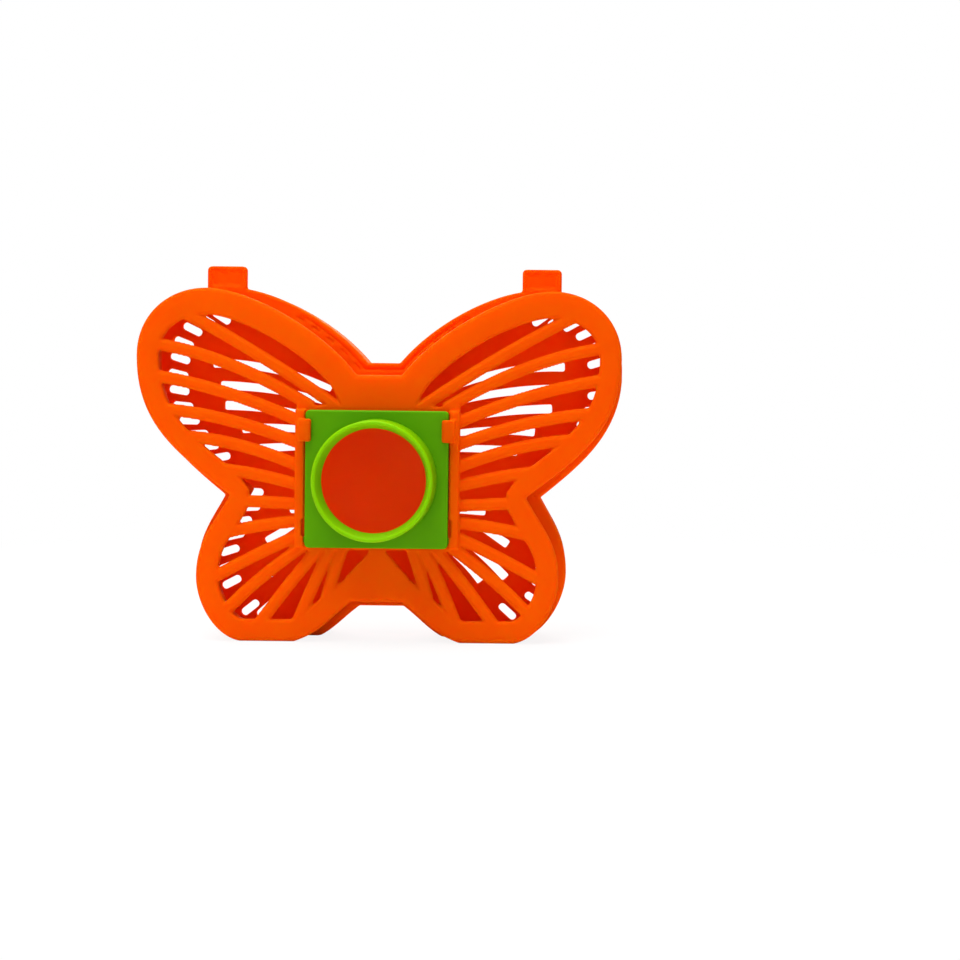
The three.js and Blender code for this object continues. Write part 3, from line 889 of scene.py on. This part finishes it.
def flangeGroove(flange2d):  # cutter for the shallow groove in the front of the flange
    s = shellSettings
    rim = stack["rim"]
    groove = prism("groove", grown(flange2d, -s["grooveRim"]), rim - beyond, rim + s["grooveDepth"])
    bead2d = grown(fullOutline(), s["grooveStart"])
    bead = prism("bead", bead2d, rim - 2 * beyond, rim + 2 * beyond)
    carve(groove, bead)
    discard(bead)
    return groove


def makeShell():
    s = shellSettings
    rim, panel, back = stack["rim"], stack["panel"], stack["back"]
    flangeBack = rim + s["flange"]
    tub2d, flange2d = shellOutline(s["tubSetback"]), shellOutline(0)
    mouth2d = grown(fullOutline(), s["sleeveGap"] - coverSettings["skirtInset"])
    tub = loft("tub", easedLevels(tub2d, rim + s["tubStart"], back, 0, s["backEdge"]))
    flange = loft("flange", easedLevels(flange2d, rim, flangeBack, s["flangeEdge"], s["flangeBackEdge"]))
    inside = prism("inside", grown(tub2d, -s["wall"]), flangeBack, panel)
    mouth = prism("mouth", mouth2d, rim - beyond, flangeBack + beyond)
    groove = flangeGroove(flange2d)
    tool = slotTool("slotTool")
    tree = slotTree(tool)
    shortPoints = slotPoints("shortSlots", shortRows(), (panel + back) / 2)
    shorts = useTree(shortPoints, tree, {"Depth": s["slotDepth"]})
    vents = useTree(slotPoints("vents", ventRows(), rim), tree, {"Depth": s["ventDepth"]})
    longs = gather("longSlots", [longTool(ends, side) for ends in longSlots for side in (-1, 1)])
    carve(tub, inside, mouth, shorts, longs)
    carve(flange, mouth, groove, vents)
    discard(tool, shorts, vents, longs, inside, mouth, groove)
    made = gather("backShell", [tub, flange, tabShell(-1), tabShell(1)])
    moulded(made, "back_shell", s["voxel"], s["triangles"])
    made.data.materials.clear()
    made.data.materials.append(orangePlastic)
    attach(made, "shell")
    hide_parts("back_shell")


makeShell()
print("back shell made")


# lens door

doorSettings = {
    "corner": 1.4,
    "edge": 0.5,
    "backEdge": 0.2,
    "ringRadius": 18.3,
    "ringDraft": 0.3,
    "ringWall": 1.4,
    "noseSteps": 12,
    "lipDepth": 3.6,
    "lipThickness": 1.0,
    "lipRadius": 15.9,
    "lipBevel": 0.2,
    "bead": 0.5,
    "beadWidth": 0.8,
    "clearance": 0.3,
    "earReach": 0.8,
    "earThickness": 0.9,
    "seam": 0.01,  # keeps faces that would lie in one plane apart
    "sharpAngle": 40,
}

lensSettings = {"edge": 1.6, "crown": 1.5, "steps": 24, "sharpAngle": 50}

doorCentre = railSettings["doorBottom"] + railSettings["doorHeight"] / 2
boreRadius = doorSettings["ringRadius"] - doorSettings["ringWall"]
lensSeat = stack["ringFront"] + doorSettings["lipDepth"] + doorSettings["lipThickness"]
lensFront = lensSeat + doorSettings["clearance"]
lensBack = lensFront + lensSettings["edge"]


def makeDoor():
    s, r = doorSettings, railSettings
    front, back = stack["doorFront"], stack["doorBack"]
    top = r["doorBottom"] + r["doorHeight"]
    plate2d = roundBox2d(-r["doorHalf"], r["doorHalf"], r["doorBottom"], top, s["corner"])
    plate = loft("plate", easedLevels(plate2d, front, back, s["edge"], s["backEdge"]))
    earHalf = r["doorHalf"] + s["earReach"]
    ear2d = box2d(-earHalf, earHalf, r["earLow"], r["earLow"] + r["earHeight"])
    ears = prism("ears", ear2d, back - s["earThickness"], back - s["seam"])
    wide = boreRadius + s["ringWall"] / 2
    low, high = front - 2 * beyond, back + 2 * beyond
    bore = lathe("bore", [(0, low), (wide, low), (wide, high), (0, high)], doorCentre)
    ringFront, radius, wall = stack["ringFront"], s["ringRadius"], s["ringWall"]
    ringBack = back - 2 * s["seam"]
    nose = [(radius - wall / 2 + wall / 2 * math.sin(a), ringFront + wall / 2 * (1 - math.cos(a)))
            for a in np.linspace(-math.pi / 2, math.pi / 2, s["noseSteps"] + 1)]
    beadAt = lensBack + s["clearance"]
    lipFront = ringFront + s["lipDepth"]
    ring = lathe("ring", [
        *nose,
        (radius + s["ringDraft"], ringBack),
        (boreRadius, ringBack),
        (boreRadius, beadAt + s["beadWidth"]),
        (boreRadius - s["bead"], beadAt + s["beadWidth"] / 2),
        (boreRadius, beadAt),
        (boreRadius, lensSeat),
        (s["lipRadius"], lensSeat),
        (s["lipRadius"], lipFront + s["lipBevel"]),
        (s["lipRadius"] + s["lipBevel"], lipFront),
    ], doorCentre)
    boolean(plate, ears, "UNION")
    carve(plate, bore)
    boolean(plate, ring, "UNION")
    discard(ears, bore, ring)
    plate.name = "lensDoor"
    plate.data.name = "lensDoor"
    plate.data.shade_smooth()
    plate.data.set_sharp_from_angle(angle=math.radians(s["sharpAngle"]))
    shade = plate.modifiers.new("shade", "WEIGHTED_NORMAL")
    shade.keep_sharp = True
    settle(plate)
    plate.data.materials.clear()
    plate.data.materials.append(greenPlastic)
    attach(plate, "door")
    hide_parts("lens_door")


def makeLens():
    s = lensSettings
    radius = boreRadius - doorSettings["clearance"]
    profile = []
    for k in range(s["steps"] + 1):
        turn = math.pi / 2 * k / s["steps"]
        profile.append((radius * math.sin(turn), s["crown"] * math.cos(turn) ** 2))
    front = [(across, lensFront - rise) for across, rise in profile]
    back = [(across, lensBack + rise) for across, rise in profile][::-1]
    made = lathe("lensGlass", front + back, doorCentre)
    made.data.shade_smooth()
    made.data.set_sharp_from_angle(angle=math.radians(s["sharpAngle"]))
    made.data.materials.append(clearLens)
    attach(made, "door")
    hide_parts("lens")


makeDoor()
makeLens()
print("door and lens made")


# floor, light and camera, with the lengths of floor and lamps in metres

studio = {
    "floorHalf": 3.0,
    "floorColour": 0.9,
    "floorRoughness": 0.9,
    "floorWhite": 0.88,
    "fadeStart": 0.1,
    "fadeEnd": 0.32,
    "worldLight": 0.24,
    "lampTarget": (0, 0, 0.05),
}

# each lamp: place, power, size
lamps = {
    "topBox": ((-0.1, -0.15, 0.8), 7.4, 0.6),
    "frontBox": ((0.2, -0.9, 0.3), 1.2, 0.8),
    "backBox": ((-0.2, 0.9, 0.35), 11.0, 0.8),
}

cameraSettings = {
    "sensor": 36,
    "clipStart": 10.0,
    "place": (62.59, -433.58, 79.56),
    "yaw": 0.043,
    "pitch": -0.462,
    "roll": 0.649,
    "lens": 52.12,
    "shift": (-0.107, -0.085),
}


def seenDirectly(nodes, link):  # 1 for camera, glossy and transmission rays
    path = nodes.new("ShaderNodeLightPath")
    first, second = nodes.new("ShaderNodeMath"), nodes.new("ShaderNodeMath")
    first.operation = second.operation = "MAXIMUM"
    link(path.outputs["Is Camera Ray"], first.inputs[0])
    link(path.outputs["Is Glossy Ray"], first.inputs[1])
    link(first.outputs[0], second.inputs[0])
    link(path.outputs["Is Transmission Ray"], second.inputs[1])
    return second.outputs[0]


def makeFloor():
    half = studio["floorHalf"]
    corners = [(x, z, 0) for x, z in box2d(-half, half, -half, half)]
    mesh = bpy.data.meshes.new("floor")
    mesh.from_pydata(corners, [], [(0, 1, 2, 3)])
    floor = newObject("floor", mesh)
    paper = bpy.data.materials.new("paleFloor")
    paper.use_nodes = True
    nodes, link = paper.node_tree.nodes, paper.node_tree.links.new
    surface = nodes["Principled BSDF"]
    level = studio["floorColour"]
    surface.inputs["Base Color"].default_value = (level, level, level, 1)
    surface.inputs["Roughness"].default_value = studio["floorRoughness"]
    white = nodes.new("ShaderNodeEmission")
    mix = nodes.new("ShaderNodeMixShader")
    place = nodes.new("ShaderNodeTexCoord")
    distance = nodes.new("ShaderNodeVectorMath")
    distance.operation = "LENGTH"
    fade = nodes.new("ShaderNodeMapRange")
    fade.inputs["From Min"].default_value = studio["fadeStart"]
    fade.inputs["From Max"].default_value = studio["fadeEnd"]
    fade.inputs["To Min"].default_value = studio["floorWhite"]
    share = nodes.new("ShaderNodeMath")
    share.operation = "MULTIPLY"
    link(place.outputs["Object"], distance.inputs[0])
    link(distance.outputs["Value"], fade.inputs["Value"])
    link(seenDirectly(nodes, link), share.inputs[0])
    link(fade.outputs["Result"], share.inputs[1])
    link(share.outputs[0], mix.inputs[0])
    link(surface.outputs[0], mix.inputs[1])
    link(white.outputs[0], mix.inputs[2])
    link(mix.outputs[0], nodes["Material Output"].inputs["Surface"])
    floor.data.materials.append(paper)


def makeWorld():
    world = bpy.data.worlds.new("whiteStudio")
    world.use_nodes = True
    scene.world = world
    nodes, link = world.node_tree.nodes, world.node_tree.links.new
    soft = nodes["Background"]
    soft.inputs["Strength"].default_value = studio["worldLight"]
    soft.inputs["Color"].default_value = (1, 1, 1, 1)
    white = nodes.new("ShaderNodeBackground")
    white.inputs["Color"].default_value = (1, 1, 1, 1)
    mix = nodes.new("ShaderNodeMixShader")
    link(seenDirectly(nodes, link), mix.inputs[0])
    link(soft.outputs[0], mix.inputs[1])
    link(white.outputs[0], mix.inputs[2])
    link(mix.outputs[0], nodes["World Output"].inputs["Surface"])


def softbox(name, place, power, size):
    lamp = bpy.data.lights.new(name, "AREA")
    lamp.energy = power
    lamp.shape = "DISK"
    lamp.size = size
    made = newObject(name, lamp)
    made.location = place
    way = Vector(studio["lampTarget"]) - Vector(place)
    made.rotation_euler = way.to_track_quat("-Z", "Y").to_euler()


def makeCamera():
    s = cameraSettings
    yaw, pitch, roll = (math.radians(s[k]) for k in ("yaw", "pitch", "roll"))
    ahead = Vector((math.sin(yaw) * math.cos(pitch), math.cos(yaw) * math.cos(pitch), math.sin(pitch)))
    level = Vector((math.cos(yaw), -math.sin(yaw), 0))
    upright = level.cross(ahead)
    right = level * math.cos(roll) + upright * math.sin(roll)
    up = upright * math.cos(roll) - level * math.sin(roll)
    data = bpy.data.cameras.new("photoCamera")
    data.lens = s["lens"]
    data.sensor_width = s["sensor"]
    data.sensor_fit = "HORIZONTAL"
    data.shift_x, data.shift_y = s["shift"]
    data.clip_start = s["clipStart"] * mm
    made = newObject("photoCamera", data)
    turn = Matrix((right, up, -ahead)).transposed()
    made.matrix_world = Matrix.Translation(Vector(s["place"]) * mm) @ turn.to_4x4()
    scene.camera = made


makeFloor()
makeWorld()
for lampName, (place, power, size) in lamps.items():
    softbox(lampName, place, power, size)
makeCamera()
scene.view_settings.view_transform = "Standard"
print("studio made")
